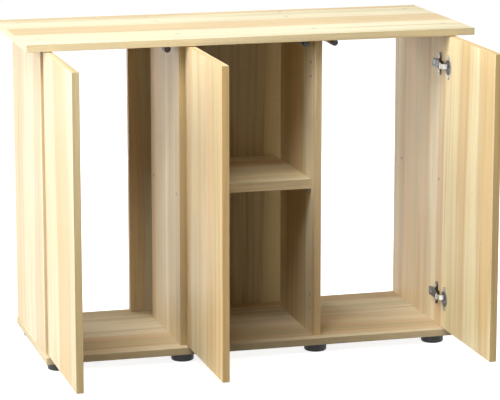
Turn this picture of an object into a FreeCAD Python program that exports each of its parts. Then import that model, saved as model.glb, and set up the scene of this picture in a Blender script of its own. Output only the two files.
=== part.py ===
import FreeCAD, Part

import os
from FreeCAD import Vector

# Aquarium stand cabinet, flat-packed board furniture with three doors.
# Frame: origin on the floor under the middle of the top panel, +X to the right as seen from the
# front, +Y to the back, +Z up. All sizes are in millimetres. The doors are modelled open at 90
# degrees, which is their rest pose.

# ---- driving dimensions of the carcass --------------------------------------------------------
WIDTH = 1010.0               # top panel, left to right
DEPTH = 410.0                # top panel, front to back
HEIGHT = 730.0               # floor to the top panel's upper face
BOARD = 16.0                 # particle board of the carcass and the doors
ARRIS = 0.5                  # chamfer of every board edge
SHELF_BOARD = 22.0           # thicker board of the middle shelf
FOOT_HEIGHT = 20.0
CARCASS_WIDTH = 937.0        # over the outer faces of the side panels
BOTTOM_WIDTH = 941.0
BOTTOM_FRONT_SETBACK = 18.0  # from the top panel's front edge
BOTTOM_DEPTH = 370.0
UPRIGHT_SETBACK = 41.0       # front edges of sides and dividers, from the top panel's front edge
SIDE_DEPTH = 346.0
DIVIDER_DEPTH = 273.0        # the dividers stop short of the back panel, as a hose passage
DIVIDER_CENTRE = 155.2
BACK_PANEL_WIDTH = 410.0
BACK_PANEL_SETBACK = 362.0   # its front face, from the top panel's front edge
SHELF_SETBACK = 66.0
SHELF_TOP = 393.0
SHELF_CLEARANCE = 0.5        # from the dividers and the back panel

# ---- driving dimensions of the doors and their hardware ---------------------------------------
DOOR_SIDE_GAP = 2.5          # between neighbouring doors
DOOR_END_GAP = 2.0           # over and under a door
DOOR_FACE_GAP = 2.0          # between a closed door and the upright's front edge
HINGE_INSET = 71.0           # hinge centre from the door's top or bottom edge
CUP_INSET = 22.5             # hinge cup centre from the door's hinged edge
CUP_RADIUS = 17.5
CUP_BORE_DEPTH = 12.5
PIVOT_INSET = 7.0            # the door's turning axis, from its hinged edge
PIVOT_DEPTH = 13.5           # the door's turning axis, in front of its inner face
PLATE_SETBACK = 32.0         # hinge plate screw line behind the upright's front edge
PLATE_SCREW_PITCH = 32.0
CUP_SCREW_PITCH = 45.0
CUP_SCREW_RADIUS = 2.0
CUP_SCREW_LENGTH = 12.2
CUP_SCREW_HEAD = 3.6
CUP_SCREW_HEAD_HEIGHT = 0.5
LATCH_INSET = 32.0           # push latch from the door's free edge
LATCH_DROP = 10.0            # push latch axis under the top panel
LATCH_TIP_SETBACK = 32.0     # plunger tip, from the top panel's front edge, plunger out
FIT = 0.15                   # radial clearance of a piece in its bore

# ---- derived places ---------------------------------------------------------------------------
FRONT = -DEPTH / 2
BOTTOM_TOP = FOOT_HEIGHT + BOARD
UNDER_TOP = HEIGHT - BOARD
UPRIGHT_FRONT = FRONT + UPRIGHT_SETBACK
SIDE_BACK = UPRIGHT_FRONT + SIDE_DEPTH
DIVIDER_BACK = UPRIGHT_FRONT + DIVIDER_DEPTH
SIDE_CENTRE = (CARCASS_WIDTH - BOARD) / 2
BACK_PANEL_FRONT = FRONT + BACK_PANEL_SETBACK
BOTTOM_FRONT = FRONT + BOTTOM_FRONT_SETBACK
DOOR_WIDTH = (CARCASS_WIDTH - 2 * DOOR_SIDE_GAP) / 3
DOOR_BOTTOM = BOTTOM_TOP + DOOR_END_GAP
DOOR_TOP = UNDER_TOP - DOOR_END_GAP
HINGE_HEIGHTS = {"lower": DOOR_BOTTOM + HINGE_INSET, "upper": DOOR_TOP - HINGE_INSET}

# A door's hinged edge when closed, the side its free edge is on, and the upright's inner face.
DOORS = {
    "left": {"edge": -CARCASS_WIDTH / 2, "hand": 1, "panel": BOARD},
    "middle": {
        "edge": -DOOR_WIDTH / 2,
        "hand": 1,
        "panel": DOOR_WIDTH / 2 - DIVIDER_CENTRE + BOARD / 2,
    },
    "right": {"edge": CARCASS_WIDTH / 2, "hand": -1, "panel": BOARD},
}

# Screw places along each upright: (upright centre X, front screw Y, back screw Y).
SCREW_INSET = 43.0           # behind the front edge of every upright
SIDE_BACK_INSET = 38.0       # ahead of a side panel's back edge
DIVIDER_BACK_INSET = 18.0    # ahead of a divider's back edge
BACK_PANEL_SCREW_X = 160.0
UPRIGHT_SCREWS = [
    (-SIDE_CENTRE, UPRIGHT_FRONT + SCREW_INSET, SIDE_BACK - SIDE_BACK_INSET),
    (SIDE_CENTRE, UPRIGHT_FRONT + SCREW_INSET, SIDE_BACK - SIDE_BACK_INSET),
    (-DIVIDER_CENTRE, UPRIGHT_FRONT + SCREW_INSET, DIVIDER_BACK - DIVIDER_BACK_INSET),
    (DIVIDER_CENTRE, UPRIGHT_FRONT + SCREW_INSET, DIVIDER_BACK - DIVIDER_BACK_INSET),
]
SCREW_PLACES = [(x, y) for x, front, back in UPRIGHT_SCREWS for y in (front, back)]
SCREW_PLACES += [(x, BACK_PANEL_FRONT + BOARD / 2) for x in (-BACK_PANEL_SCREW_X, BACK_PANEL_SCREW_X)]

SCREW_SHANK = 2.5            # confirmat screw radii and lengths
SCREW_HEAD = 4.8
SCREW_HEAD_HEIGHT = 4.0
SCREW_LENGTH = 50.0
CAP_RADIUS = 6.0
CAP_HEIGHT = 1.2

DOWEL_RADIUS = 4.0
DOWEL_LENGTH = 30.0
DOWEL_DEPTH = 8.0            # how far a dowel stands into the top or bottom panel
DOWEL_OFFSET = 64.0          # dowel behind the front screw of its upright
DOWEL_CHAMFER = 1.0
HOLE_SPARE = 0.5             # how much deeper a blind hole is than its screw or dowel

PIN_RADIUS = 2.5
PIN_HOLE_DEPTH = 9.0
DIVIDER_PIN_HOLE_DEPTH = 7.0 # the dividers are drilled from both faces
PIN_LENGTH = 6.5             # the peg in its hole
PIN_SEAT = 0.2               # the collar's clearance from the divider
PIN_REACH = 8.0              # how far a shelf pin stands out of the divider
PIN_COLLAR = 3.5
PIN_SETBACK = 31.0           # front pins behind the upright's front edge
PIN_BACK_SETBACK = 248.0
SIDE_PIN_BACK_SETBACK = 292.0
SPARE_PIN_HEIGHT = (BOTTOM_TOP + UNDER_TOP) / 2

FOOT_RADIUS = 25.5
FOOT_INSET = 38.0            # from the bottom panel's front and back edges
FOOT_COLUMNS = [-436.0, -DIVIDER_CENTRE, DIVIDER_CENTRE, 436.0]


def box(x0, x1, y0, y1, z0, z1):
    return Part.makeBox(x1 - x0, y1 - y0, z1 - z0, Vector(x0, y0, z0))


def cylinder(radius, height, base, axis):
    return Part.makeCylinder(radius, height, Vector(*base), Vector(*axis))


def group(solids):
    return Part.makeCompound(solids)


def save(name, shape):
    shape.exportStep("parts/" + name + ".step")


# ---- screws, dowels and the holes that take them ----------------------------------------------
def vertical_screw(x, y, z_head, direction):
    """A confirmat screw, its head's outer face at z_head, pointing up (+1) or down (-1)."""
    head = cylinder(SCREW_HEAD, SCREW_HEAD_HEIGHT, (x, y, z_head), (0, 0, direction))
    shank = cylinder(SCREW_SHANK, SCREW_LENGTH, (x, y, z_head), (0, 0, direction))
    return head.fuse(shank).removeSplitter()


def vertical_screw_hole(x, y, z_head, direction, recess):
    """The clearance for vertical_screw, open by recess beyond its head."""
    start = (x, y, z_head - direction * recess)
    head = cylinder(SCREW_HEAD + FIT, recess + SCREW_HEAD_HEIGHT + FIT, start, (0, 0, direction))
    shank = cylinder(SCREW_SHANK + FIT, recess + SCREW_LENGTH + HOLE_SPARE, start, (0, 0, direction))
    return head.fuse(shank)


def dowel_places():
    """Dowel axes in plan: one behind the front screw of each upright."""
    return [(x, front + DOWEL_OFFSET) for x, front, back in UPRIGHT_SCREWS]


def dowel(x, y, z_joint, direction):
    start = z_joint - direction * DOWEL_DEPTH
    body = cylinder(DOWEL_RADIUS, DOWEL_LENGTH, (x, y, start), (0, 0, direction))
    return body.makeChamfer(DOWEL_CHAMFER, [e for e in body.Edges if e.Curve.TypeId == "Part::GeomCircle"])


def dowel_hole(x, y, z_joint, direction):
    start = z_joint - direction * (DOWEL_DEPTH + HOLE_SPARE)
    return cylinder(DOWEL_RADIUS + FIT, DOWEL_LENGTH + 2 * HOLE_SPARE, (x, y, start), (0, 0, direction))


CAP_SEAT = HEIGHT - CAP_HEIGHT
TOP_HEAD_RECESS = 0.5                # screw heads under the caps in the top panel
BOTTOM_HEAD_RECESS = 1.0             # screw heads sunk in the bottom panel's underside
TOP_HEAD = CAP_SEAT - TOP_HEAD_RECESS
BOTTOM_HEAD = FOOT_HEIGHT + BOTTOM_HEAD_RECESS


def joint_holes():
    """Every screw and dowel hole that crosses the top and bottom joints."""
    holes = []
    for x, y in SCREW_PLACES:
        holes.append(vertical_screw_hole(x, y, TOP_HEAD, -1, TOP_HEAD_RECESS))
        holes.append(vertical_screw_hole(x, y, BOTTOM_HEAD, 1, BOTTOM_HEAD_RECESS))
    for x, y in dowel_places():
        holes.append(dowel_hole(x, y, UNDER_TOP, -1))
        holes.append(dowel_hole(x, y, BOTTOM_TOP, 1))
    return group(holes)


# ---- holes for the hinge plates, shelf pins and latches ---------------------------------------
PLATE_SCREW_RADIUS = 2.0
PLATE_SCREW_LENGTH = 11.0


def upright_face_hole(x_face, into, y, z, radius, depth):
    return cylinder(radius, depth, (x_face, y, z), (into, 0, 0))


def plate_hole_pair(x_face, into, z):
    y = UPRIGHT_FRONT + PLATE_SETBACK
    radius = PLATE_SCREW_RADIUS + FIT
    depth = PLATE_SCREW_LENGTH + HOLE_SPARE
    half_pitch = PLATE_SCREW_PITCH / 2
    return [
        upright_face_hole(x_face, into, y, z + dz, radius, depth) for dz in (-half_pitch, half_pitch)
    ]


def pin_holes(x_face, into, z, back_setback=PIN_BACK_SETBACK, depth=PIN_HOLE_DEPTH):
    return [
        upright_face_hole(x_face, into, UPRIGHT_FRONT + s, z, PIN_RADIUS + FIT, depth)
        for s in (PIN_SETBACK, back_setback)
    ]


# ---- carcass boards ---------------------------------------------------------------------------
def eased(board):
    """A board with its twelve arrises eased, as edge banding leaves them."""
    return board.makeChamfer(ARRIS, board.Edges)


def top_panel(holes):
    board = eased(box(-WIDTH / 2, WIDTH / 2, FRONT, -FRONT, UNDER_TOP, HEIGHT))
    caps = [
        cylinder(CAP_RADIUS + FIT, CAP_HEIGHT, (x, y, CAP_SEAT), (0, 0, 1)) for x, y in SCREW_PLACES
    ]
    return board.cut(holes).cut(group(caps)).cut(group(latch_screw_holes()))


def bottom_panel(holes):
    half = BOTTOM_WIDTH / 2
    board = eased(box(-half, half, BOTTOM_FRONT, BOTTOM_FRONT + BOTTOM_DEPTH, FOOT_HEIGHT, BOTTOM_TOP))
    return board.cut(holes).cut(group(foot_screw_holes()))


def upright(centre, back, holes, extra_holes):
    board = eased(
        box(centre - BOARD / 2, centre + BOARD / 2, UPRIGHT_FRONT, back, BOTTOM_TOP, UNDER_TOP)
    )
    return board.cut(holes).cut(group(extra_holes))


def side_panel(hand, holes):
    """hand is -1 for the left side and +1 for the right; its inner face looks the other way."""
    inner = hand * (CARCASS_WIDTH / 2 - BOARD)
    extra = pin_holes(inner, hand, SPARE_PIN_HEIGHT, SIDE_PIN_BACK_SETBACK)
    for z in HINGE_HEIGHTS.values():
        extra += plate_hole_pair(inner, hand, z)
    return upright(hand * SIDE_CENTRE, SIDE_BACK, holes, extra)


def divider(hand, holes):
    """Both dividers are drilled alike, so either can carry the middle door."""
    inner = hand * (DIVIDER_CENTRE - BOARD / 2)
    outer = hand * (DIVIDER_CENTRE + BOARD / 2)
    extra = pin_holes(inner, hand, shelf_pin_height(), depth=DIVIDER_PIN_HOLE_DEPTH)
    extra += pin_holes(outer, -hand, SPARE_PIN_HEIGHT, depth=DIVIDER_PIN_HOLE_DEPTH)
    for z in HINGE_HEIGHTS.values():
        extra += plate_hole_pair(inner, hand, z)
    return upright(hand * DIVIDER_CENTRE, DIVIDER_BACK, holes, extra)


def back_panel(holes):
    half = BACK_PANEL_WIDTH / 2
    back = BACK_PANEL_FRONT + BOARD
    return eased(box(-half, half, BACK_PANEL_FRONT, back, BOTTOM_TOP, UNDER_TOP)).cut(holes)


def middle_shelf():
    half = DIVIDER_CENTRE - BOARD / 2 - SHELF_CLEARANCE
    front = FRONT + SHELF_SETBACK
    back = BACK_PANEL_FRONT - SHELF_CLEARANCE
    return eased(box(-half, half, front, back, SHELF_TOP - SHELF_BOARD, SHELF_TOP))


def shelf_pin_height():
    return SHELF_TOP - SHELF_BOARD - PIN_COLLAR


def shelf_pins():
    pins = []
    for hand in (-1, 1):
        face = hand * (DIVIDER_CENTRE - BOARD / 2)
        for setback in (PIN_SETBACK, PIN_BACK_SETBACK):
            y = UPRIGHT_FRONT + setback
            start = (face + hand * PIN_LENGTH, y, shelf_pin_height())
            peg = cylinder(PIN_RADIUS, PIN_LENGTH + PIN_REACH / 2, start, (-hand, 0, 0))
            rest = (face - hand * PIN_SEAT, y, shelf_pin_height())
            collar = cylinder(PIN_COLLAR, PIN_REACH, rest, (-hand, 0, 0))
            pins.append(peg.fuse(collar).removeSplitter())
    return group(pins)


# ---- feet -------------------------------------------------------------------------------------
FOOT_SCREW_RADIUS = 2.0
FOOT_SCREW_LENGTH = 24.0
FOOT_HOLE_DEPTH = 12.0
FOOT_SCREW_HEAD = 4.0
FOOT_SCREW_HEAD_HEIGHT = 2.5
FOOT_RECESS = 10.0
FOOT_RECESS_GAP = 1.0        # round the screw head in its recess
FOOT_RIM = 3.5               # radius of the rounded lower rim


def foot_places():
    rows = {"front": BOTTOM_FRONT + FOOT_INSET, "back": BOTTOM_FRONT + BOTTOM_DEPTH - FOOT_INSET}
    return {
        row + "_foot_" + str(n + 1): (x, y)
        for row, y in rows.items()
        for n, x in enumerate(FOOT_COLUMNS)
    }


def foot(x, y):
    """A round plastic glide with a rounded lower rim and a sunk screw hole."""
    body = cylinder(FOOT_RADIUS, FOOT_HEIGHT, (x, y, 0), (0, 0, 1))
    rim = [e for e in body.Edges if e.BoundBox.ZMax < 0.01]
    body = body.makeFillet(FOOT_RIM, rim)
    recess = cylinder(FOOT_SCREW_HEAD + FOOT_RECESS_GAP, FOOT_RECESS, (x, y, 0), (0, 0, 1))
    hole = cylinder(FOOT_SCREW_RADIUS + FIT, FOOT_HEIGHT, (x, y, 0), (0, 0, 1))
    return body.cut(recess).cut(hole)


def foot_screws():
    screws = []
    for x, y in foot_places().values():
        start = (x, y, FOOT_RECESS - FOOT_SCREW_HEAD_HEIGHT)
        head = cylinder(FOOT_SCREW_HEAD, FOOT_SCREW_HEAD_HEIGHT, start, (0, 0, 1))
        shank = cylinder(FOOT_SCREW_RADIUS, FOOT_SCREW_LENGTH, start, (0, 0, 1))
        screws.append(head.fuse(shank).removeSplitter())
    return group(screws)


def foot_screw_holes():
    return [
        cylinder(FOOT_SCREW_RADIUS + FIT, FOOT_HOLE_DEPTH, (x, y, FOOT_HEIGHT), (0, 0, 1))
        for x, y in foot_places().values()
    ]


# ---- concealed hinges -------------------------------------------------------------------------
# Built in a hinge frame: +X inboard from the closed door's hinged edge, +Y back from the
# upright's front edge, Z from the hinge's centre. place() puts a piece at its door.
CUP_WALL = 1.0
CUP_RIM = 1.5                # how far the ring flange laps over the bore
CUP_FLOOR_GAP = 0.5          # under the cup in its bore
FLANGE = 1.2
WING_HALF = 28.0
WING_WIDTH = 14.0
ARM_GAP = 0.3                # between the arm and the plate's boss
ARM_SHEET = 2.0
PLATE_WING = 6.0             # half the wing's width
PLATE_REACH = 20.0           # wing end centres above and below the hinge's centre
BOSS_HEIGHT = 5.0
BOSS_HALF = 6.0
BOSS_FRONT = 14.0
BOSS_BACK = 56.0
BOSS_CHAMFER = 1.5
ARM_FRONT = 12.0
ARM_BACK = 60.0
ARM_HALF = 9.0
NOSE_HALF = 1.9              # half the nose's thickness
NOSE_AHEAD = 1.0             # the nose's reach in front of its pin
NOSE_BEHIND = 4.0            # where the neck narrows to the nose, behind the pin
NOSE_SLOT = (8.0, -6.0, 5.5) # the link's slot: half its width, its front and its back from the pin
ARM_SCREW_SETBACK = 46.0
ARM_SCREW_RADIUS = 2.8
ARM_SCREW_HEIGHT = 1.4
ARM_SCREW_SEAT = 1.0
ARM_SEAT_RADIUS = 3.0
CROSS_LONG = 2.0             # half length and half width of the screw's cross slot
CROSS_WIDE = 0.4
CROSS_DEPTH = 0.6
PLATE_SCREW_HEAD = 3.5
PLATE_SCREW_HEAD_HEIGHT = 1.8
PLATE_SHEET = 2.5
NOSE = (29.6, -0.9)          # link pin at the end of the arm: inboard, and back from the front edge
LINK_KNEE = (27.3, -17.7)    # the link's bend, door open at 90 degrees
LINK_END = (19.8, -19.3)     # the link's end in the cup, door open at 90 degrees
LINK_SHEET = 1.6
LINK_HALF = 5.5
LINK_PIN = 1.2               # radius of the link's pin
LINK_EYE = 2.0               # radius of the link's eye round the pin
PIN_CLEARANCE = 0.05
LINK_PIN_HALF = 8.5          # half the pin's length


def place(shape, door, z):
    if door["hand"] < 0:
        shape = shape.mirror(Vector(0, 0, 0), Vector(1, 0, 0))
    else:
        shape = shape.copy()
    shape.translate(Vector(door["edge"], UPRIGHT_FRONT, z))
    return shape


def opened(shape):
    """Turns a piece of a closed door, in the hinge frame, to the door's open rest pose."""
    turned = shape.copy()
    turned.rotate(Vector(PIVOT_INSET, -DOOR_FACE_GAP - PIVOT_DEPTH, 0), Vector(0, 0, 1), -90)
    return turned


def hinge_plate(panel):
    """The cross-shaped mounting plate: a wing with two screw holes and a boss under the arm."""
    front, back = PLATE_SETBACK - PLATE_WING, PLATE_SETBACK + PLATE_WING
    wing = box(panel, panel + PLATE_SHEET, front, back, -PLATE_REACH, PLATE_REACH)
    for z in (-PLATE_REACH, PLATE_REACH):
        end = (panel, PLATE_SETBACK, z)
        wing = wing.fuse(cylinder(PLATE_WING, PLATE_SHEET, end, (1, 0, 0)))
    boss_top = panel + PLATE_SHEET + BOSS_HEIGHT
    boss = box(panel, boss_top, BOSS_FRONT, BOSS_BACK, -BOSS_HALF, BOSS_HALF)
    boss = boss.makeChamfer(BOSS_CHAMFER, [e for e in boss.Edges if e.BoundBox.XMin > boss_top - 1])
    plate = wing.fuse(boss).removeSplitter()
    holes = [
        cylinder(PLATE_SCREW_RADIUS + FIT, PLATE_SHEET, (panel, PLATE_SETBACK, dz), (1, 0, 0))
        for dz in (-PLATE_SCREW_PITCH / 2, PLATE_SCREW_PITCH / 2)
    ]
    return plate.cut(group(holes))


def plate_screws(panel):
    """Two pan-head screws through the plate's wing into the upright."""
    screws = []
    for dz in (-PLATE_SCREW_PITCH / 2, PLATE_SCREW_PITCH / 2):
        end = (panel - PLATE_SCREW_LENGTH, PLATE_SETBACK, dz)
        shank = cylinder(PLATE_SCREW_RADIUS, PLATE_SCREW_LENGTH + PLATE_SHEET, end, (1, 0, 0))
        seat = (panel + PLATE_SHEET, PLATE_SETBACK, dz)
        head = cylinder(PLATE_SCREW_HEAD, PLATE_SCREW_HEAD_HEIGHT, seat, (1, 0, 0))
        screws.append(shank.fuse(head).removeSplitter())
    return screws


def arm_roof(panel):
    """The inner face of the arm's roof, over the boss."""
    return panel + PLATE_SHEET + BOSS_HEIGHT + ARM_GAP


def hinge_arm(panel):
    """The channel arm over the boss, cranked forward to a nose that carries the link's pin."""
    roof = arm_roof(panel)
    top = roof + ARM_SHEET
    cheek = ARM_HALF - ARM_SHEET
    outer = box(panel + PLATE_SHEET + ARM_GAP, top, ARM_FRONT, ARM_BACK, -ARM_HALF, ARM_HALF)
    channel = outer.cut(box(panel, roof, 0, ARM_BACK, -cheek, cheek))
    nose_x, nose_y = NOSE
    outer_x, inner_x = nose_x + NOSE_HALF, nose_x - NOSE_HALF
    front, back = nose_y - NOSE_AHEAD, nose_y + NOSE_BEHIND
    corners = [(roof, BOSS_FRONT), (top, BOSS_FRONT), (outer_x, back), (outer_x, front)]
    corners += [(inner_x, front), (inner_x, back)]
    profile = [Vector(x, y, -ARM_HALF) for x, y in corners + corners[:1]]
    neck = Part.Face(Part.makePolygon(profile)).extrude(Vector(0, 0, 2 * ARM_HALF))
    slot_half, slot_front, slot_back = NOSE_SLOT
    x0, x1 = nose_x - slot_half, nose_x + slot_half
    half_slot = LINK_HALF + ARM_GAP
    slot = box(x0, x1, nose_y + slot_front, nose_y + slot_back, -half_slot, half_slot)
    bore = cylinder(LINK_PIN + PIN_CLEARANCE, 2 * ARM_HALF, (nose_x, nose_y, -ARM_HALF), (0, 0, 1))
    seat_place = (top - ARM_SCREW_SEAT, ARM_SCREW_SETBACK, 0)
    seat = cylinder(ARM_SEAT_RADIUS, ARM_SCREW_SEAT, seat_place, (1, 0, 0))
    return channel.fuse(neck).removeSplitter().cut(slot).cut(bore).cut(seat)


def arm_screw(panel):
    """The fixing screw in the arm's seat, with its cross slot."""
    base = arm_roof(panel) + ARM_SHEET - ARM_SCREW_SEAT
    y = ARM_SCREW_SETBACK
    head = cylinder(ARM_SCREW_RADIUS, ARM_SCREW_HEIGHT, (base, y, 0), (1, 0, 0))
    top = base + ARM_SCREW_HEIGHT
    for half_y, half_z in ((CROSS_LONG, CROSS_WIDE), (CROSS_WIDE, CROSS_LONG)):
        head = head.cut(box(top - CROSS_DEPTH, top, y - half_y, y + half_y, -half_z, half_z))
    return head


def hinge_link():
    """The bent link from the arm's nose into the cup, with its pin; door open at 90 degrees."""
    points = [Vector(*NOSE, 0), Vector(*LINK_KNEE, 0), Vector(*LINK_END, 0)]
    half = LINK_SHEET / 2
    link = cylinder(LINK_EYE, 2 * LINK_HALF, (*NOSE, -LINK_HALF), (0, 0, 1))
    for a, b in zip(points, points[1:]):
        run = b - a
        side = Vector(-run.y, run.x, 0).normalize() * half
        outline = Part.makePolygon([a + side, b + side, b - side, a - side, a + side])
        leg = Part.Face(outline).extrude(Vector(0, 0, 2 * LINK_HALF))
        leg.translate(Vector(0, 0, -LINK_HALF))
        link = link.fuse(leg)
    for p in points[1:]:
        link = link.fuse(cylinder(half, 2 * LINK_HALF, (p.x, p.y, -LINK_HALF), (0, 0, 1)))
    pin = cylinder(LINK_PIN, 2 * LINK_PIN_HALF, (*NOSE, -LINK_PIN_HALF), (0, 0, 1))
    return link.fuse(pin).removeSplitter()


def hinge_cup():
    """The pressed cup with its ring flange and two screw wings, in the closed door's place."""
    face = -DOOR_FACE_GAP
    outer = cylinder(CUP_RADIUS - FIT, CUP_BORE_DEPTH - CUP_FLOOR_GAP, (CUP_INSET, face, 0), (0, -1, 0))
    reach = WING_HALF - WING_WIDTH / 2
    half_width = WING_WIDTH / 2
    wing = box(CUP_INSET - half_width, CUP_INSET + half_width, face, face + FLANGE, -reach, reach)
    ring = cylinder(CUP_RADIUS + CUP_RIM, FLANGE, (CUP_INSET, face, 0), (0, 1, 0))
    flange = ring.fuse(wing)
    for z in (-reach, reach):
        flange = flange.fuse(cylinder(half_width, FLANGE, (CUP_INSET, face, z), (0, 1, 0)))
    hollow = cylinder(
        CUP_RADIUS - FIT - CUP_WALL,
        CUP_BORE_DEPTH - CUP_FLOOR_GAP - CUP_WALL + FLANGE,
        (CUP_INSET, face + FLANGE, 0),
        (0, -1, 0),
    )
    holes = [
        cylinder(CUP_SCREW_RADIUS + FIT, FLANGE, (CUP_INSET, face, dz), (0, 1, 0))
        for dz in (-CUP_SCREW_PITCH / 2, CUP_SCREW_PITCH / 2)
    ]
    return outer.fuse(flange).removeSplitter().cut(hollow).cut(group(holes))


def cup_screws():
    screws = []
    for dz in (-CUP_SCREW_PITCH / 2, CUP_SCREW_PITCH / 2):
        start = (CUP_INSET, -DOOR_FACE_GAP + FLANGE, dz)
        shank = cylinder(CUP_SCREW_RADIUS, CUP_SCREW_LENGTH, start, (0, -1, 0))
        head = cylinder(CUP_SCREW_HEAD, CUP_SCREW_HEAD_HEIGHT, start, (0, 1, 0))
        screws.append(shank.fuse(head).removeSplitter())
    return screws


def door_board(door):
    """The closed door in the hinge frame, with z measured from the floor, bored for its cups."""
    face = -DOOR_FACE_GAP
    board = eased(box(0, DOOR_WIDTH, face - BOARD, face, DOOR_BOTTOM, DOOR_TOP))
    cuts = []
    for z in HINGE_HEIGHTS.values():
        cuts.append(cylinder(CUP_RADIUS, CUP_BORE_DEPTH, (CUP_INSET, face, z), (0, -1, 0)))
        for dz in (-CUP_SCREW_PITCH / 2, CUP_SCREW_PITCH / 2):
            hole = (CUP_INSET, face, z + dz)
            cuts.append(cylinder(CUP_SCREW_RADIUS + FIT, CUP_SCREW_LENGTH, hole, (0, -1, 0)))
    return board.cut(group(cuts))


# ---- push latches -----------------------------------------------------------------------------
LATCH_BODY_RADIUS = 6.5
LATCH_BODY_LENGTH = 62.0
PLUNGER_RADIUS = 4.0
PLUNGER_LENGTH = 44.0
TIP_RADIUS = 7.5
TIP_LENGTH = 9.0
TIP_ROUNDING = 2.5
LATCH_NECK = 12.0            # bare plunger between the body and the tip
LATCH_COLLAR = 1.0           # how far the tube's front collar stands out
LATCH_COLLAR_LENGTH = 4.0
LATCH_END_WALL = 3.0         # closed back end of the tube
SADDLE_HALF = 4.0            # half width of the web between tube and flange
SADDLE_REACH = 20.0          # half length of the web
ROD_OVERLAP = 1.0            # the rod's seat in its tip
LATCH_FLANGE = 2.5
FLANGE_CORNER = 5.0
FLANGE_SIZE = (32.0, 28.0)   # the flange, across and along the tube
FLANGE_UNDER = UNDER_TOP - LATCH_FLANGE
LATCH_SCREW_OFFSET = 11.5    # from the tube's axis
LATCH_SCREW_RADIUS = 1.75
LATCH_SCREW_LENGTH = 14.0
LATCH_SCREW_HEAD = 3.2
LATCH_SCREW_HEAD_HEIGHT = 1.6


def latch_axis(name):
    door = DOORS[name]
    x = door["edge"] + door["hand"] * (DOOR_WIDTH - LATCH_INSET)
    return x, FRONT + LATCH_TIP_SETBACK, UNDER_TOP - LATCH_DROP


def latch_body(name):
    """The tube with a screw flange against the top panel, bored for the plunger."""
    x, tip, z = latch_axis(name)
    start = tip + TIP_LENGTH + LATCH_NECK
    middle = start + LATCH_BODY_LENGTH / 2
    tube = cylinder(LATCH_BODY_RADIUS, LATCH_BODY_LENGTH, (x, start, z), (0, 1, 0))
    collar_radius = LATCH_BODY_RADIUS + LATCH_COLLAR
    collar = cylinder(collar_radius, LATCH_COLLAR_LENGTH, (x, start, z), (0, 1, 0))
    web_front, web_back = middle - SADDLE_REACH, middle + SADDLE_REACH
    saddle = box(x - SADDLE_HALF, x + SADDLE_HALF, web_front, web_back, z, UNDER_TOP)
    half_x, half_y = FLANGE_SIZE[0] / 2, FLANGE_SIZE[1] / 2
    flange = box(x - half_x, x + half_x, middle - half_y, middle + half_y, FLANGE_UNDER, UNDER_TOP)
    corners = [e for e in flange.Edges if e.BoundBox.ZLength > LATCH_FLANGE / 2]
    flange = flange.makeFillet(FLANGE_CORNER, corners)
    body = tube.fuse(collar).fuse(saddle).fuse(flange).removeSplitter()
    bore = cylinder(PLUNGER_RADIUS + FIT, LATCH_BODY_LENGTH - LATCH_END_WALL, (x, start, z), (0, 1, 0))
    holes = [
        cylinder(LATCH_SCREW_RADIUS + FIT, LATCH_FLANGE, (*place, FLANGE_UNDER), (0, 0, 1))
        for place in latch_screw_places(name)
    ]
    return body.cut(bore).cut(group(holes))


def latch_plunger(name):
    """The sliding rod with its soft round tip, standing out."""
    x, tip, z = latch_axis(name)
    cap = cylinder(TIP_RADIUS, TIP_LENGTH, (x, tip, z), (0, 1, 0))
    rim = [e for e in cap.Edges if e.BoundBox.YMax < tip + 0.01]
    cap = cap.makeFillet(TIP_ROUNDING, rim)
    rod = cylinder(PLUNGER_RADIUS, PLUNGER_LENGTH, (x, tip + TIP_LENGTH - ROD_OVERLAP, z), (0, 1, 0))
    return cap.fuse(rod).removeSplitter()


def latch_screw_places(name):
    """The two flange screws, either side of the tube."""
    x, tip, z = latch_axis(name)
    y = tip + TIP_LENGTH + LATCH_NECK + LATCH_BODY_LENGTH / 2
    return [(x - LATCH_SCREW_OFFSET, y), (x + LATCH_SCREW_OFFSET, y)]


def latch_screws():
    screws = []
    for name in DOORS:
        for x, y in latch_screw_places(name):
            start = (x, y, FLANGE_UNDER - LATCH_SCREW_HEAD_HEIGHT)
            head = cylinder(LATCH_SCREW_HEAD, LATCH_SCREW_HEAD_HEIGHT, start, (0, 0, 1))
            shank = cylinder(LATCH_SCREW_RADIUS, LATCH_SCREW_LENGTH, start, (0, 0, 1))
            screws.append(head.fuse(shank).removeSplitter())
    return group(screws)


def latch_screw_holes():
    return [
        cylinder(LATCH_SCREW_RADIUS + FIT, LATCH_SCREW_LENGTH, (*place, UNDER_TOP), (0, 0, 1))
        for name in DOORS
        for place in latch_screw_places(name)
    ]


# ---- write every node -------------------------------------------------------------------------
def write_carcass():
    holes = joint_holes()
    save("top_panel", top_panel(holes))
    save("bottom_panel", bottom_panel(holes))
    save("left_side_panel", side_panel(-1, holes))
    save("right_side_panel", side_panel(1, holes))
    save("left_divider", divider(-1, holes))
    save("right_divider", divider(1, holes))
    save("back_panel", back_panel(holes))
    save("middle_shelf", middle_shelf())
    save("shelf_pins", shelf_pins())
    save("top_screws", group([vertical_screw(x, y, TOP_HEAD, -1) for x, y in SCREW_PLACES]))
    save("bottom_screws", group([vertical_screw(x, y, BOTTOM_HEAD, 1) for x, y in SCREW_PLACES]))
    caps = [cylinder(CAP_RADIUS, CAP_HEIGHT, (x, y, CAP_SEAT), (0, 0, 1)) for x, y in SCREW_PLACES]
    save("screw_caps", group(caps))
    save("top_dowels", group([dowel(x, y, UNDER_TOP, -1) for x, y in dowel_places()]))
    save("bottom_dowels", group([dowel(x, y, BOTTOM_TOP, 1) for x, y in dowel_places()]))


def write_feet():
    for name, (x, y) in foot_places().items():
        save(name, foot(x, y))
    save("foot_screws", foot_screws())


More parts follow.
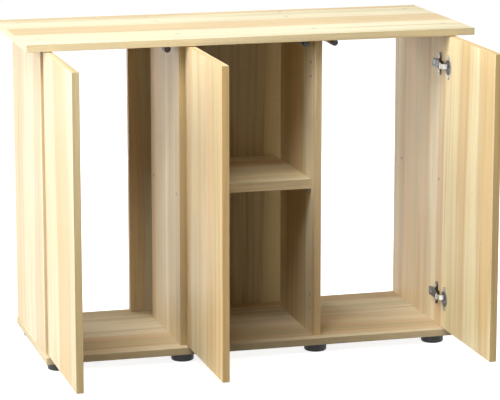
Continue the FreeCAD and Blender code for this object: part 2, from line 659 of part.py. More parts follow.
def write_door(name, door):
    save(name + "_door", place(opened(door_board(door)), door, 0))
    screws = []
    links = []
    for level, z in HINGE_HEIGHTS.items():
        hinge = name + "_" + level + "_hinge_"
        save(hinge + "plate", place(hinge_plate(door["panel"]), door, z))
        save(hinge + "arm", place(hinge_arm(door["panel"]), door, z))
        save(hinge + "cup", place(opened(hinge_cup()), door, z))
        screws += [place(opened(s), door, z) for s in cup_screws()]
        links.append(place(hinge_link(), door, z))
    save(name + "_hinge_links", group(links))
    save(name + "_cup_screws", group(screws))
    save(name + "_latch_body", latch_body(name))
    save(name + "_latch_plunger", latch_plunger(name))


def write_plate_screws():
    screws = []
    for door in DOORS.values():
        for z in HINGE_HEIGHTS.values():
            screws += [place(s, door, z) for s in plate_screws(door["panel"])]
            screws.append(place(arm_screw(door["panel"]), door, z))
    save("hinge_plate_screws", group(screws))


os.makedirs("parts", exist_ok=True)
write_carcass()
write_feet()
for door_name, door_places in DOORS.items():
    write_door(door_name, door_places)
write_plate_screws()
save("latch_screws", latch_screws())
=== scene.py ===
import math

import bmesh
import bpy
from mathutils import Matrix, Vector


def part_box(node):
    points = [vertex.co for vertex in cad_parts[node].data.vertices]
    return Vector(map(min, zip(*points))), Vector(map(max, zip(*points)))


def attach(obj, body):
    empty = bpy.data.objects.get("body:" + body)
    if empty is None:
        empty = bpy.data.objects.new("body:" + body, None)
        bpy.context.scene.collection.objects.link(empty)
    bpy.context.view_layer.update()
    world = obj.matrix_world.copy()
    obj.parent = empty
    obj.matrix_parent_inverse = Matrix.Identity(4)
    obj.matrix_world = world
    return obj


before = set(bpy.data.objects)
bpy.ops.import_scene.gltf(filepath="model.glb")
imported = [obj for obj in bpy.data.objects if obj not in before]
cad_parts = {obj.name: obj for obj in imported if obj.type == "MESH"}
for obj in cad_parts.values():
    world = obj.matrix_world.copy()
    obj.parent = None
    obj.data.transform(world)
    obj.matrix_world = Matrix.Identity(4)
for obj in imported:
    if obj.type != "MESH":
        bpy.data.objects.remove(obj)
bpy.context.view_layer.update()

MM = 0.001
DOORS = ("left", "middle", "right")
HEIGHTS = ("lower", "upper")

# Colours, as linear RGBA.
CREAM = (0.885, 0.765, 0.515, 1)
PALE = (0.94, 0.87, 0.66, 1)
PEACH = (0.76, 0.565, 0.315, 1)
OLIVE = (0.66, 0.57, 0.33, 1)
FIBRE = (0.52, 0.375, 0.20, 1)
PORE = (0.42, 0.285, 0.15, 1)
SEAM = (0.50, 0.37, 0.21, 1)            # along a board's eased edges
BAND = (0.94, 0.87, 0.75, 1)            # multiplies the decor on upright edge banding
CARCASS_TINT = (0.97, 0.97, 1.0, 1)
DOOR_TINT = (1.0, 0.965, 0.84, 1)
# Painted light: the top board is made paler and whiter than the carcass, as its lit top face looks.
TOP_PAINTED_LIGHT = (0.98, 1.02, 1.08, 1)
# Painted shade: the bottom board is darkened, as the shade inside the compartments darkens it.
BOTTOM_PAINTED_SHADE = (0.86, 0.86, 0.90, 1)
# Painted shade: the lit left side board is toned down a little.
LEFT_SIDE_PAINTED_SHADE = (0.95, 0.93, 0.93, 1)
# The golden door tone with painted shade: the left door is darkened a little.
LEFT_DOOR_TONE_AND_PAINTED_SHADE = (0.95, 0.92, 0.84, 1)
# The golden door tone with painted light: the right door is lightened a little.
RIGHT_DOOR_TONE_AND_PAINTED_LIGHT = (1.02, 1.0, 0.88, 1)
# Painted light: the right divider is made paler than the carcass, to light its face inside the middle
# compartment.
RIGHT_DIVIDER_PAINTED_LIGHT = (1.02, 1.02, 1.04, 1)
# Painted shade: the back panel is darkened, as the shade deep in the middle compartment darkens it.
BACK_PAINTED_SHADE = (0.78, 0.79, 0.82, 1)
ROOM_LOW = (0.02, 0.02, 0.02, 1)
ROOM_HIGH = (0.07, 0.07, 0.072, 1)

# Surface detail.
BOARD_EASE = 1.0 * MM                   # how far the darker seam reaches over a board's edge
PLASTIC_EASE = 0.5 * MM
METAL_EASE = 0.3 * MM
BOARD_SPECULAR = 0.38
FLOOR_SPECULAR = 0.2
FLOOR_GLOW = 0.85
FLOOR_RADIUS = 40
SHARP_ANGLE = math.radians(28)          # faces that meet at more than this keep a crisp edge

# Added pieces, each on the surface of the CAD node it dresses.
CROSS_RISE = 0.05 * MM
CROSS_CHAMFER = 0.86
PLATE_CROSS = (1.7 * MM, 0.42 * MM)     # half length and half width of an arm
LATCH_CROSS = (1.5 * MM, 0.4 * MM)
FOOT_CROSS = (1.9 * MM, 0.5 * MM)
NEAR_PANEL = 20 * MM                    # a plate screw's head is this close to its own board
RIB_LENGTH, RIB_HALF, RIB_RISE = 34 * MM, 0.9 * MM, 0.45 * MM
RIB_FROM_REAR = 22 * MM
RIB_OFF_CENTRE = 6.2 * MM
ARM_REAR = 4 * MM                       # the arm's roof height is read over this much of its rear
RIVET_RADIUS, RIVET_RISE = 1.7 * MM, 0.5 * MM
RIVET_UNDER_ROOF = 4.2 * MM
RIVET_FROM_REAR = 7 * MM
CHEEK = 9.0 * MM                        # half the arm's height, out to its flat cheeks
LATCH_RING_HALF, LATCH_RING_RISE = 0.7 * MM, 0.4 * MM
LATCH_RING_SEAT = 1.0 * MM              # the tube's wall is this far inside its collar
LATCH_RING_SPOTS = (3 * MM, 6 * MM, 9 * MM)     # from the tube's rear end
FOOT_RING_SEAT = 0.15 * MM
FOOT_RING_HALF, FOOT_RING_RISE = 0.6 * MM, 0.35 * MM
FOOT_RING_HEIGHT = 13 * MM
LIP_INNER, LIP_OUTER, LIP_RISE = 2.2 * MM, 3.3 * MM, 0.06 * MM
LIP_STEPS = 32
LIP_WOBBLE = (1.0, 0.93, 1.05, 0.96, 1.08, 0.95, 1.02, 0.91)
SPARE_ABOVE_SHELF = 4 * MM              # the spare pin holes, over the shelf's underside
PIN_SETBACK = 31 * MM                   # behind the board's front edge, as the three below
SIDE_BACK_SETBACK = 292 * MM
DIVIDER_BACK_SETBACK = 248 * MM
PLATE_SETBACK = 32 * MM
PLATE_PITCH_HALF = 16 * MM              # half the height between a hinge plate's two screws

# The camera, from a perspective fit to the cabinet's edges in the photograph.
CAMERA_PLACE = (-1.4118, -5.2614, 1.4789)
CAMERA_TILT = 11.964                    # degrees down from level
CAMERA_TURN = 15.455                    # degrees to the right of +Y
CAMERA_LENS = 175.44                    # mm, on a sensor 36 mm wide
SENSOR_WIDTH = 36


# ---- node helpers -----------------------------------------------------------------------------
def add(tree, kind, links=None, **settings):
    """A node with its settings, and its inputs given as sockets or as plain values."""
    node = tree.nodes.new(kind)
    for key, value in settings.items():
        setattr(node, key, value)
    for key, value in (links or {}).items():
        if isinstance(value, bpy.types.NodeSocket):
            tree.links.new(value, node.inputs[key])
        else:
            node.inputs[key].default_value = value
    return node


def scaled(tree, vector, scale, shift=(0, 0, 0)):
    """vector * scale + shift."""
    node = add(tree, "ShaderNodeVectorMath", {0: vector, 1: scale, 2: shift}, operation="MULTIPLY_ADD")
    return node.outputs["Vector"]


def noise(tree, vector, detail=2.0, rough=0.5):
    """Noise at scale 1, so the vector alone sets its grain."""
    links = {"Vector": vector, "Scale": 1.0, "Detail": detail, "Roughness": rough, "Distortion": 0.0}
    return add(tree, "ShaderNodeTexNoise", links).outputs["Fac"]


def ramp(tree, value, low, high, to_low=0.0, to_high=1.0):
    """Smoothly remaps value from low..high to to_low..to_high."""
    links = {"Value": value, "From Min": low, "From Max": high, "To Min": to_low, "To Max": to_high}
    return add(tree, "ShaderNodeMapRange", links, interpolation_type="SMOOTHSTEP").outputs["Result"]


def maths(tree, operation, a, b=0.0):
    """One step of arithmetic."""
    return add(tree, "ShaderNodeMath", {0: a, 1: b}, operation=operation).outputs["Value"]


def mix(tree, factor, a, b, blend="MIX"):
    """Colours a and b mixed by factor."""
    node = add(tree, "ShaderNodeMix", {0: factor, 6: a, 7: b}, data_type="RGBA", blend_type=blend,
               clamp_result=True)
    return node.outputs[2]


def bevel_mask(tree, radius):
    """1 on edges rounder than the face, 0 on flat faces."""
    rounded = add(tree, "ShaderNodeBevel", {"Radius": radius}, samples=4).outputs["Normal"]
    flat = add(tree, "ShaderNodeNewGeometry").outputs["Normal"]
    dot = add(tree, "ShaderNodeVectorMath", {0: rounded, 1: flat}, operation="DOT_PRODUCT").outputs["Value"]
    return ramp(tree, dot, 0.985, 0.86)


def material(name):
    """A new material, its node tree and its Principled shader."""
    made = bpy.data.materials.new(name)
    made.use_nodes = True
    tree = made.node_tree
    return made, tree, tree.nodes["Principled BSDF"]


def feed(tree, shader, color, roughness, height, strength, distance):
    """Wires colour, roughness and bump into a shader."""
    bump = add(tree, "ShaderNodeBump", {"Height": height, "Strength": strength, "Distance": distance})
    tree.links.new(color, shader.inputs["Base Color"])
    tree.links.new(roughness, shader.inputs["Roughness"])
    tree.links.new(bump.outputs["Normal"], shader.inputs["Normal"])


# ---- the oak decor ----------------------------------------------------------------------------
def oak_group():
    """Oak decor from a grain vector in metres: (along the grain, across it, depth)."""
    group = bpy.data.node_groups.new("oak_decor", "ShaderNodeTree")
    group.interface.new_socket("Grain", in_out="INPUT", socket_type="NodeSocketVector")
    group.interface.new_socket("Color", in_out="OUTPUT", socket_type="NodeSocketColor")
    group.interface.new_socket("Roughness", in_out="OUTPUT", socket_type="NodeSocketFloat")
    group.interface.new_socket("Height", in_out="OUTPUT", socket_type="NodeSocketFloat")
    grain = group.nodes.new("NodeGroupInput").outputs["Grain"]
    out = group.nodes.new("NodeGroupOutput")

    # The grain wanders a little from side to side along the board.
    sway = noise(group, scaled(group, grain, (1.3, 2.5, 2.5)), detail=1.0)
    sway = maths(group, "MULTIPLY", maths(group, "SUBTRACT", sway, 0.5), 0.05)
    sway = add(group, "ShaderNodeCombineXYZ", {"Y": sway}).outputs["Vector"]
    grain = add(group, "ShaderNodeVectorMath", {0: grain, 1: sway}, operation="ADD").outputs["Vector"]

    # From broad planks down to single pores, each stretched along the grain.
    planks = noise(group, scaled(group, grain, (0.35, 12.0, 12.0)), detail=1.0)
    pale = noise(group, scaled(group, grain, (0.5, 5.0, 5.0), (7, 3, 1)), detail=1.0)
    olive = noise(group, scaled(group, grain, (0.6, 11.0, 11.0), (2, 9, 4)), detail=1.0)
    streaks = noise(group, scaled(group, grain, (1.4, 62.0, 62.0)), detail=4.0, rough=0.62)
    rings = noise(group, scaled(group, grain, (2.2, 160.0, 160.0), (5, 5, 2)), detail=3.0, rough=0.6)
    fibres = noise(group, scaled(group, grain, (11.0, 700.0, 700.0)), detail=2.0, rough=0.7)
    pores = noise(group, scaled(group, grain, (70.0, 1500.0, 1500.0)), detail=1.0)
    dense = noise(group, scaled(group, grain, (2.0, 24.0, 24.0), (4, 1, 8)), detail=2.0)

    color = mix(group, ramp(group, pale, 0.48, 0.68, 0.0, 0.75), CREAM, PALE)
    color = mix(group, ramp(group, planks, 0.45, 0.57, 0.0, 0.95), color, PEACH)
    color = mix(group, ramp(group, olive, 0.50, 0.64, 0.0, 0.60), color, OLIVE)
    color = mix(group, ramp(group, streaks, 0.48, 0.70, 0.0, 0.55), color, FIBRE)
    color = mix(group, ramp(group, rings, 0.55, 0.80, 0.0, 0.30), color, FIBRE)
    color = mix(group, ramp(group, fibres, 0.45, 0.85, 0.0, 0.28), color, FIBRE)
    density = ramp(group, dense, 0.45, 0.6, 0.1, 0.6)
    pore_mask = maths(group, "MULTIPLY", ramp(group, pores, 0.64, 0.72), density)
    color = mix(group, pore_mask, color, PORE)

    wear = noise(group, scaled(group, grain, (3.0, 5.0, 5.0), (3, 3, 9)), detail=3.0)
    rough = ramp(group, wear, 0.3, 0.7, 0.40, 0.52)
    rough = maths(group, "ADD", rough, maths(group, "MULTIPLY", fibres, 0.10))
    dents = maths(group, "MULTIPLY", pore_mask, 0.9)
    height = maths(group, "SUBTRACT", maths(group, "MULTIPLY", fibres, 0.5), dents)
    group.links.new(color, out.inputs["Color"])
    group.links.new(rough, out.inputs["Roughness"])
    group.links.new(height, out.inputs["Height"])
    return group


def grain_vector(tree, xyz, along):
    """(along the grain, across it, 0) on a face, from the place's separate axes."""
    across = [axis for axis in "XYZ" if axis != along]
    return add(tree, "ShaderNodeCombineXYZ", {
        "X": xyz[along],
        "Y": maths(tree, "ADD", xyz[across[0]], xyz[across[1]]),
    }).outputs["Vector"]


def oak_board(name, along, strip, thick, offset, tone_and_painted_light, group):
    """One board's decor: the grain's axis, the long axis of its end strips, and its thickness axis."""
    made, tree, shader = material("oak_decor_" + name)
    place = add(tree, "ShaderNodeTexCoord").outputs["Object"]
    xyz = add(tree, "ShaderNodeSeparateXYZ", {"Vector": place}).outputs
    normal = add(tree, "ShaderNodeTexCoord").outputs["Normal"]
    facing = add(tree, "ShaderNodeSeparateXYZ", {"Vector": normal}).outputs
    face = grain_vector(tree, xyz, along)
    end = grain_vector(tree, xyz, strip)
    is_end = maths(tree, "GREATER_THAN", maths(tree, "ABSOLUTE", facing[along]), 0.6)
    vector = add(tree, "ShaderNodeMix", {0: is_end, 4: face, 5: end}, data_type="VECTOR").outputs[1]
    decor = add(tree, "ShaderNodeGroup", node_tree=group)
    tree.links.new(scaled(tree, vector, (1, 1, 1), offset), decor.inputs["Grain"])

    speck = noise(tree, scaled(tree, place, (140, 140, 140)), detail=2.0)
    edge = maths(tree, "MULTIPLY", bevel_mask(tree, BOARD_EASE), ramp(tree, speck, 0.35, 0.65, 0.35, 0.9))
    side_on = maths(tree, "LESS_THAN", maths(tree, "ABSOLUTE", facing[thick]), 0.5)
    upright = maths(tree, "LESS_THAN", maths(tree, "ABSOLUTE", facing["Z"]), 0.5)
    is_band = maths(tree, "MULTIPLY", side_on, upright)
    # The tint multiplies the decor: the board's tone, with painted light on some boards and painted shade
    # on others.
    color = mix(tree, 1.0, decor.outputs["Color"], tone_and_painted_light, "MULTIPLY")
    color = mix(tree, is_band, color, mix(tree, 1.0, color, BAND, "MULTIPLY"))
    color = mix(tree, edge, color, SEAM)
    shader.inputs["Specular IOR Level"].default_value = BOARD_SPECULAR
    feed(tree, shader, color, decor.outputs["Roughness"], decor.outputs["Height"], 0.25, 0.25 * MM)
    return made


# ---- plastics, metals, beech and painted hole shade -------------------------------------------
def opaque(color):
    """An RGB colour as RGBA."""
    return (*color, 1)


def lifted(color, factor, rise=0.0):
    """A paler version of a colour, for rubbed or worn edges."""
    return opaque(min(1.0, c * factor + rise) for c in color)


def plastic(name, light, dark, rough, grain_scale, grain_depth, specular):
    """A moulded plastic: mottled colour, fine spark-eroded grain and rubbed edges."""
    made, tree, shader = material(name)
    place = add(tree, "ShaderNodeTexCoord").outputs["Object"]
    cloud = noise(tree, scaled(tree, place, (45, 45, 45)), detail=3.0)
    grain = noise(tree, scaled(tree, place, (grain_scale,) * 3), detail=2.0)
    scuff = noise(tree, scaled(tree, place, (90, 90, 900)), detail=2.0)
    rubbing = maths(tree, "MULTIPLY", bevel_mask(tree, PLASTIC_EASE), 0.5)
    color = mix(tree, ramp(tree, cloud, 0.3, 0.7), opaque(dark), opaque(light))
    color = mix(tree, rubbing, color, lifted(light, 1.5, 0.02))
    roughness = ramp(tree, scuff, 0.3, 0.75, rough - 0.06, rough + 0.12)
    shader.inputs["Specular IOR Level"].default_value = specular
    feed(tree, shader, color, roughness, grain, 0.3, grain_depth)
    return made


def plated(name, light, dark, stain, rough, brush):
    """Plated steel: brushed along brush, with clouded tone, tiny dull spots and worn edges."""
    made, tree, shader = material(name)
    place = add(tree, "ShaderNodeTexCoord").outputs["Object"]
    cloud = noise(tree, scaled(tree, place, (120, 120, 120)), detail=3.0)
    brushed = noise(tree, scaled(tree, place, brush), detail=3.0, rough=0.7)
    spots = noise(tree, scaled(tree, place, (700, 700, 700)), detail=2.0)
    wearing = maths(tree, "MULTIPLY", bevel_mask(tree, METAL_EASE), 0.7)
    color = mix(tree, ramp(tree, cloud, 0.3, 0.7), opaque(dark), opaque(light))
    color = mix(tree, ramp(tree, spots, 0.58, 0.75, 0.0, 0.5), color, opaque(stain))
    color = mix(tree, wearing, color, lifted(light, 1.25))
    roughness = ramp(tree, brushed, 0.25, 0.8, rough, rough + 0.22)
    shader.inputs["Metallic"].default_value = 1.0
    feed(tree, shader, color, roughness, brushed, 0.2, 0.05 * MM)
    return made


def beech():
    """Turned beech: fine straight fibre with short darker flecks."""
    made, tree, shader = material("beech_dowel")
    place = add(tree, "ShaderNodeTexCoord").outputs["Object"]
    fibre = noise(tree, scaled(tree, place, (800, 800, 30)), detail=3.0)
    fleck = noise(tree, scaled(tree, place, (900, 900, 260)), detail=1.0)
    color = mix(tree, ramp(tree, fibre, 0.3, 0.7), (0.62, 0.42, 0.25, 1), (0.74, 0.55, 0.36, 1))
    color = mix(tree, ramp(tree, fleck, 0.62, 0.7, 0.0, 0.6), color, (0.38, 0.22, 0.12, 1))
    feed(tree, shader, color, ramp(tree, fibre, 0.3, 0.7, 0.6, 0.75), fibre, 0.4, 0.1 * MM)
    return made


def painted_hole_shade():
    """Painted shade round a drilled hole: dark brown flakes that make the hole read wider and darker."""
    made, tree, shader = material("painted_hole_shade")
    place = add(tree, "ShaderNodeTexCoord").outputs["Object"]
    flakes = noise(tree, scaled(tree, place, (1400, 1400, 1400)), detail=3.0, rough=0.7)
    color = mix(tree, ramp(tree, flakes, 0.35, 0.65), (0.07, 0.045, 0.025, 1), (0.17, 0.11, 0.06, 1))
    feed(tree, shader, color, ramp(tree, flakes, 0.3, 0.7, 0.75, 0.9), flakes, 0.5, 0.1 * MM)
    return made


# Plastics: light, dark, roughness, grain scale and depth, specular level.
BLACK_FOOT = plastic("black_foot_plastic",
                     (0.016, 0.016, 0.017), (0.008, 0.008, 0.009), 0.42, 1800, 0.05 * MM, 0.5)
GREY_LATCH = plastic("grey_latch_plastic",
                     (0.50, 0.49, 0.53), (0.42, 0.41, 0.45), 0.36, 1500, 0.03 * MM, 0.5)
DARK_TIP = plastic("dark_plunger_plastic",
                   (0.035, 0.03, 0.032), (0.018, 0.016, 0.018), 0.26, 2400, 0.02 * MM, 0.55)
CREAM_CAP = plastic("cream_cap_plastic",
                    (0.62, 0.53, 0.38), (0.54, 0.46, 0.32), 0.45, 2000, 0.03 * MM, 0.45)
# Metals: light, dark, stain, roughness, brush.
ZINC = plated("zinc_plated_steel",
              (0.66, 0.67, 0.68), (0.50, 0.52, 0.54), (0.34, 0.33, 0.31), 0.26, (900, 900, 60))
NICKEL = plated("nickel_plated_steel",
                (0.105, 0.103, 0.101), (0.07, 0.068, 0.067), (0.045, 0.043, 0.041), 0.17, (900, 900, 90))
BRIGHT = plated("bright_link_steel",
                (0.88, 0.87, 0.85), (0.74, 0.73, 0.71), (0.5, 0.48, 0.45), 0.30, (500, 500, 50))
CUP = plated("cup_steel",
             (0.46, 0.45, 0.44), (0.36, 0.35, 0.34), (0.22, 0.21, 0.20), 0.38, (900, 900, 90))
DULL = plated("dull_pin_steel",
              (0.26, 0.25, 0.23), (0.17, 0.16, 0.15), (0.10, 0.09, 0.08), 0.42, (900, 900, 90))
# Painted shade: the dark finish of the raised crosses that stand for the screws' cross recesses.
RECESS_PAINTED_SHADE = plated("recess_painted_shade",
                (0.10, 0.10, 0.10), (0.05, 0.05, 0.05), (0.03, 0.03, 0.03), 0.40, (900, 900, 60))
BEECH = beech()
# Painted shade round the drilled holes.
HOLE_SHADE = painted_hole_shade()
OAK = oak_group()


# ---- dressing the CAD nodes -------------------------------------------------------------------
# Each board: grain axis, axis of its end strips, thickness axis, decor offset, and a tint that is the
# board's tone, with painted light on some boards and painted shade on others.
BOARDS = {
    "top_panel": ("X", "Y", "Z", (0.30, 0.02, 1.7), TOP_PAINTED_LIGHT),
    "bottom_panel": ("X", "Y", "Z", (2.90, 1.37, 4.1), BOTTOM_PAINTED_SHADE),
    "middle_shelf": ("X", "Y", "Z", (6.20, 3.11, 2.6), CARCASS_TINT),
    "back_panel": ("Z", "X", "Y", (4.40, 6.83, 6.3), BACK_PAINTED_SHADE),
    "left_side_panel": ("Z", "Y", "X", (1.15, 7.92, 0.4), LEFT_SIDE_PAINTED_SHADE),
    "right_side_panel": ("Z", "Y", "X", (8.70, 2.31, 8.8), CARCASS_TINT),
    "left_divider": ("Z", "Y", "X", (5.35, 9.14, 3.2), CARCASS_TINT),
    "right_divider": ("Z", "Y", "X", (3.05, 4.77, 9.9), RIGHT_DIVIDER_PAINTED_LIGHT),
    "left_door": ("Z", "Y", "X", (7.60, 6.08, 5.5), LEFT_DOOR_TONE_AND_PAINTED_SHADE),
    "middle_door": ("Z", "Y", "X", (9.25, 0.66, 7.4), DOOR_TINT),
    "right_door": ("Z", "Y", "X", (0.85, 8.49, 2.1), RIGHT_DOOR_TONE_AND_PAINTED_LIGHT),
}
# The finish of every other node: the first word here that its name holds.
FINISHES = (
    ("_foot_", BLACK_FOOT),
    ("dowels", BEECH),
    ("screw_caps", CREAM_CAP),
    ("latch_body", GREY_LATCH),
    ("latch_plunger", DARK_TIP),
    ("latch_screws", ZINC),
    ("hinge_plate_screws", ZINC),
    ("hinge_links", BRIGHT),
    ("hinge_cup", CUP),
    ("hinge", NICKEL),
    ("screws", ZINC),
    ("shelf_pins", DULL),
)


def finish_of(node):
    """The material of a node that isn't a board."""
    for word, made in FINISHES:
        if word in node:
            return made
    raise ValueError("no finish for " + node)


def smooth_round_faces(thing):
    """Soft shading over curved faces and crisp edges elsewhere."""
    thing.data.shade_smooth()
    thing.data.set_sharp_from_angle(angle=SHARP_ANGLE)


for node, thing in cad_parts.items():
    made = oak_board(node, *BOARDS[node], OAK) if node in BOARDS else finish_of(node)
    thing.data.materials.clear()
    thing.data.materials.append(made)
    smooth_round_faces(thing)


# ---- shapes of the added pieces ---------------------------------------------------------------
def circle(form, radius, height, steps):
    """A ring of vertices about Z. The radius is one number, or one for every step."""
    radii = radius if isinstance(radius, list) else [radius] * steps
    turns = [2 * math.pi * step / steps for step in range(steps)]
    return [form.verts.new((r * math.cos(t), r * math.sin(t), height)) for r, t in zip(radii, turns)]


def bridge(form, rings):
    """Faces between every ring and the next."""
    for low, high in zip(rings, rings[1:]):
        for step in range(len(low)):
            after = (step + 1) % len(low)
            form.faces.new((low[step], low[after], high[after], high[step]))


def lathe(form, profile, steps=40):
    """Turns a profile of (radius, height) about Z."""
    rings = [circle(form, radius, height, steps) for radius, height in profile]
    bridge(form, rings)
    return rings


def cross_mark(size, thin):
    """A cross recess as a chamfered plus shape."""
    def build(form):
        rings = []
        for low, factor in ((0.0, 1.0), (CROSS_RISE, CROSS_CHAMFER)):
            s, t = size * factor, thin * factor
            corners = [(t, s), (-t, s), (-t, t), (-s, t), (-s, -t), (-t, -t),
                       (-t, -s), (t, -s), (t, -t), (s, -t), (s, t), (t, t)]
            rings.append([form.verts.new((x, y, low)) for x, y in corners])
        bridge(form, rings)
        form.faces.new(rings[-1])
    return build


def bead(length, half, rise):
    """A pressed rib: a long low crowned bar with rounded ends, lying along X."""
    def build(form):
        rows = []
        for factor, height in ((1.0, 0.0), (0.86, rise * 0.55), (0.55, rise * 0.9), (0.15, rise)):
            ring = []
            for end, start in ((1, -90), (-1, 90)):
                for step in range(9):
                    angle = math.radians(start + 180 * step / 8)
                    x = end * (length / 2 - half) + half * factor * math.cos(angle)
                    ring.append(form.verts.new((x, half * factor * math.sin(angle), height)))
            rows.append(ring)
        bridge(form, rows)
        form.faces.new(rows[-1])
    return build


def ring_band(radius, half, rise):
    """A moulded ring standing proud of a round part."""
    def build(form):
        lathe(form, [
            (radius - rise, -half), (radius, -half), (radius + rise * 0.8, -half * 0.6),
            (radius + rise, 0.0), (radius + rise * 0.8, half * 0.6), (radius, half), (radius - rise, half),
        ])
    return build


def rivet(radius, rise):
    """A domed rivet head."""
    def build(form):
        rings = lathe(form, [
            (radius, 0.0), (radius, rise * 0.35), (radius * 0.86, rise * 0.75),
            (radius * 0.5, rise), (radius * 0.38, rise * 0.7), (radius * 0.05, rise * 0.6),
        ], 24)
        form.faces.new(rings[-1])
    return build


def rim(inner, outer, rise):
    """A ragged-edged raised lip round a drilled hole."""
    def build(form):
        rings = []
        for radius, height in ((inner, 0.0), (inner, rise), (outer, rise * 0.6), (outer * 1.02, 0.0)):
            if radius != inner:
                radius = [radius * LIP_WOBBLE[step % len(LIP_WOBBLE)] for step in range(LIP_STEPS)]
            rings.append(circle(form, radius, height, LIP_STEPS))
        bridge(form, rings)
    return build


def piece(name, build, made, body, origin, axis):
    """A mesh built about +Z, stood at origin along axis, riding on a body."""
    mesh = bpy.data.meshes.new(name)
    form = bmesh.new()
    build(form)
    bmesh.ops.recalc_face_normals(form, faces=form.faces)
    turn = Vector(axis).to_track_quat("Z", "Y").to_matrix().to_4x4()
    bmesh.ops.transform(form, matrix=Matrix.Translation(origin) @ turn, verts=form.verts)
    form.to_mesh(mesh)
    form.free()
    thing = bpy.data.objects.new(name, mesh)
    bpy.context.scene.collection.objects.link(thing)
    mesh.materials.append(made)
    smooth_round_faces(thing)
    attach(thing, body)
    return thing


# ---- where the added pieces go ----------------------------------------------------------------
def centre(node):
    """The middle of a CAD node's box."""
    low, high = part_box(node)
    return (low + high) / 2


def shells(node):
    """The centre, low corner and high corner of every separate solid of a CAD node."""
    form = bmesh.new()
    form.from_mesh(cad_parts[node].data)
    bmesh.ops.remove_doubles(form, verts=form.verts, dist=1e-6)
    left, found = set(form.verts), []
    while left:
        stack, group = [left.pop()], []
        while stack:
            vert = stack.pop()
            group.append(vert.co.copy())
            for edge in vert.link_edges:
                other = edge.other_vert(vert)
                if other in left:
                    left.discard(other)
                    stack.append(other)
        low = Vector([min(p[i] for p in group) for i in range(3)])
        high = Vector([max(p[i] for p in group) for i in range(3)])
        found.append(((low + high) / 2, low, high))
    form.free()
    return sorted(found, key=lambda item: tuple(round(v, 5) for v in item[0]))


def dress_screws():
    """Dark raised crosses on the heads of the hinge plate, cup, latch and foot screws, painted shade for
    their cross recesses.
    """
    right_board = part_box("right_side_panel")[0].x
    for number, (middle, low, high) in enumerate(shells("hinge_plate_screws"), 1):
        towards = -1 if abs(high.x - right_board) < NEAR_PANEL else 1
        x = low.x if towards < 0 else high.x
        piece(f"plate_screw_cross_{number}", cross_mark(*PLATE_CROSS), RECESS_PAINTED_SHADE,
              "cabinet", (x, middle.y, middle.z), (towards, 0, 0))
    for screws, name, size in (("latch_screws", "latch_screw_cross", LATCH_CROSS),
                               ("foot_screws", "foot_screw_cross", FOOT_CROSS)):
        for number, (middle, low, high) in enumerate(shells(screws), 1):
            piece(f"{name}_{number}", cross_mark(*size), RECESS_PAINTED_SHADE,
                  "cabinet", (middle.x, middle.y, low.z), (0, 0, -1))
    for door in DOORS:
        towards = -1 if door == "right" else 1
        for number, (middle, low, high) in enumerate(shells(door + "_cup_screws"), 1):
            x = low.x if towards < 0 else high.x
            piece(f"{door}_cup_screw_cross_{number}", cross_mark(*PLATE_CROSS), RECESS_PAINTED_SHADE,
                  door + "_door_leaf", (x, middle.y, middle.z), (towards, 0, 0))


def dress_hinges():
    """Pressed ribs and rivets on every hinge arm."""
    for door in DOORS:
        towards = -1 if door == "right" else 1
        for height in HEIGHTS:
            arm = f"{door}_{height}_hinge_arm"
            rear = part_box(arm)[1].y
            verts = [v.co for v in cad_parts[arm].data.vertices]
            roof = max(p.x * towards for p in verts if p.y > rear - ARM_REAR) * towards
            middle = centre(arm)
            for side, word in ((-1, "lower"), (1, "upper")):
                bar = piece(f"{arm}_rib_{word}", bead(RIB_LENGTH, RIB_HALF, RIB_RISE),
                            NICKEL, "cabinet", (0, 0, 0), (0, 0, 1))
                bar.data.transform(Matrix.Rotation(math.radians(90), 4, "Z"))
                bar.data.transform(Matrix.Rotation(math.radians(90) * towards, 4, "Y"))
                spot = (roof, rear - RIB_FROM_REAR, middle.z + side * RIB_OFF_CENTRE)
                bar.data.transform(Matrix.Translation(spot))
                cheek = (roof - towards * RIVET_UNDER_ROOF, rear - RIVET_FROM_REAR, middle.z + side * CHEEK)
                piece(f"{arm}_rivet_{word}", rivet(RIVET_RADIUS, RIVET_RISE),
                      ZINC, "cabinet", cheek, (0, 0, side))


def dress_latches():
    """Moulded rings round every latch tube."""
    for door in DOORS:
        low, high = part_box(door + "_latch_body")
        x = (low.x + high.x) / 2
        z = centre(door + "_latch_plunger").z
        radius = z - low.z - LATCH_RING_SEAT
        for number, spot in enumerate(LATCH_RING_SPOTS, 1):
            piece(f"{door}_latch_ring_{number}", ring_band(radius, LATCH_RING_HALF, LATCH_RING_RISE),
                  GREY_LATCH, "cabinet", (x, high.y - spot, z), (0, 1, 0))


def dress_feet():
    """A fine parting ring round every foot."""
    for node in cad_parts:
        if "_foot_" in node:
            low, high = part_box(node)
            radius = (high.x - low.x) / 2 - FOOT_RING_SEAT
            middle = centre(node)
            piece(node + "_ring", ring_band(radius, FOOT_RING_HALF, FOOT_RING_RISE), BLACK_FOOT,
                  "cabinet", (middle.x, middle.y, FOOT_RING_HEIGHT), (0, 0, 1))


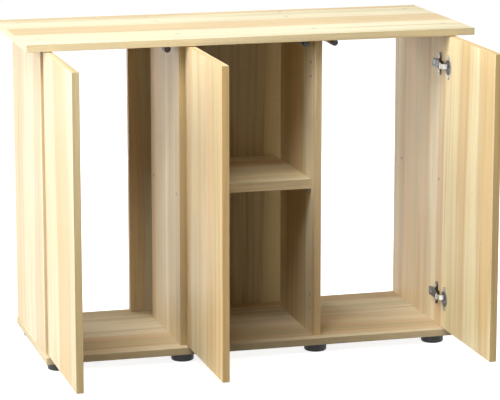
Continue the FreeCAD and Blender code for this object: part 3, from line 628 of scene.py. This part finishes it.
def dress_holes():
    """Dark lips round the drilled holes that show in the side panels and dividers, painted shade that makes
    each hole read wider and darker.
    """
    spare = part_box("middle_shelf")[0].z + SPARE_ABOVE_SHELF
    holes = []
    for board, towards, back in (("right_side_panel", -1, SIDE_BACK_SETBACK),
                                 ("left_side_panel", 1, SIDE_BACK_SETBACK),
                                 ("left_divider", -1, DIVIDER_BACK_SETBACK),
                                 ("right_divider", 1, DIVIDER_BACK_SETBACK)):
        low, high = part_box(board)
        x = low.x if towards < 0 else high.x
        holes += [(x, low.y + setback, spare, towards) for setback in (PIN_SETBACK, back)]
    low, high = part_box("right_divider")
    for height in HEIGHTS:
        z = centre(f"middle_{height}_hinge_plate").z
        for dz in (-PLATE_PITCH_HALF, PLATE_PITCH_HALF):
            holes.append((low.x, low.y + PLATE_SETBACK, z + dz, -1))
    for number, (x, y, z, towards) in enumerate(holes, 1):
        piece(f"hole_shade_lip_{number}", rim(LIP_INNER, LIP_OUTER, LIP_RISE), HOLE_SHADE,
              "cabinet", (x, y, z), (towards, 0, 0))


dress_screws()
dress_holes()
dress_hinges()
dress_latches()
dress_feet()


# ---- floor, light and camera ------------------------------------------------------------------
def make_floor():
    """A round pale floor that glows, out of sight of diffuse light so that it tints nothing."""
    mesh = bpy.data.meshes.new("floor")
    form = bmesh.new()
    bmesh.ops.create_circle(form, cap_ends=True, segments=96, radius=FLOOR_RADIUS)
    form.to_mesh(mesh)
    form.free()
    floor = bpy.data.objects.new("floor", mesh)
    bpy.context.scene.collection.objects.link(floor)
    made, tree, shader = material("studio_floor")
    place = add(tree, "ShaderNodeTexCoord").outputs["Object"]
    cloud = noise(tree, scaled(tree, place, (1.5, 1.5, 1.5)), detail=3.0)
    fine = noise(tree, scaled(tree, place, (260, 260, 260)), detail=2.0)
    color = mix(tree, cloud, (0.90, 0.90, 0.895, 1), (0.93, 0.93, 0.925, 1))
    feed(tree, shader, color, ramp(tree, fine, 0.3, 0.7, 0.7, 0.8), fine, 0.05, 0.2 * MM)
    shader.inputs["Specular IOR Level"].default_value = FLOOR_SPECULAR
    shader.inputs["Emission Color"].default_value = (1, 1, 1, 1)
    shader.inputs["Emission Strength"].default_value = FLOOR_GLOW
    mesh.materials.append(made)
    floor.visible_diffuse = False


def area_light(name, place, target, size, power, color=(1, 1, 1)):
    """A rectangular light at a place, aimed at a target."""
    data = bpy.data.lights.new(name, "AREA")
    data.shape = "RECTANGLE"
    data.size, data.size_y = size
    data.energy = power
    data.color = color
    light = bpy.data.objects.new(name, data)
    bpy.context.scene.collection.objects.link(light)
    light.location = place
    light.rotation_euler = (Vector(target) - Vector(place)).to_track_quat("-Z", "Y").to_euler()


def make_world():
    """A dim studio room: soft above, darker near the ground."""
    world = bpy.data.worlds.new("studio")
    bpy.context.scene.world = world
    world.use_nodes = True
    tree = world.node_tree
    direction = add(tree, "ShaderNodeTexCoord").outputs["Generated"]
    up = add(tree, "ShaderNodeSeparateXYZ", {"Vector": direction}).outputs["Z"]
    shade = mix(tree, ramp(tree, up, -0.15, 0.5), ROOM_LOW, ROOM_HIGH)
    tree.links.new(shade, tree.nodes["Background"].inputs["Color"])
    tree.nodes["Background"].inputs["Strength"].default_value = 1.0


def make_camera():
    """The photograph's view."""
    data = bpy.data.cameras.new("camera")
    data.lens = CAMERA_LENS
    data.sensor_width = SENSOR_WIDTH
    data.clip_end = 100
    camera = bpy.data.objects.new("camera", data)
    bpy.context.scene.collection.objects.link(camera)
    camera.location = CAMERA_PLACE
    camera.rotation_euler = (math.radians(90 - CAMERA_TILT), 0, math.radians(-CAMERA_TURN))
    bpy.context.scene.camera = camera


make_floor()
make_world()
# Place, target and size in metres, power in watts, and a colour where it isn't white.
area_light("key_left", (-5.4, -2.5, 2.2), (0, -0.15, 0.35), (4.2, 3.4), 285, (1.0, 0.985, 0.96))
area_light("rear_left", (-2.3, 3.0, 1.3), (0.2, 0, 0.35), (2.4, 2.0), 86)
area_light("right_fill", (4.8, -0.4, 1.4), (0, -0.1, 0.35), (2.6, 2.4), 85)
area_light("front_above", (-1.3, -1.5, 3.2), (0, 0, 0.5), (2.0, 1.6), 112)
area_light("overhead", (0.7, 0.9, 3.2), (0, 0, 0.6), (2.2, 1.6), 30)
make_camera()
bpy.context.scene.view_settings.view_transform = "Standard"
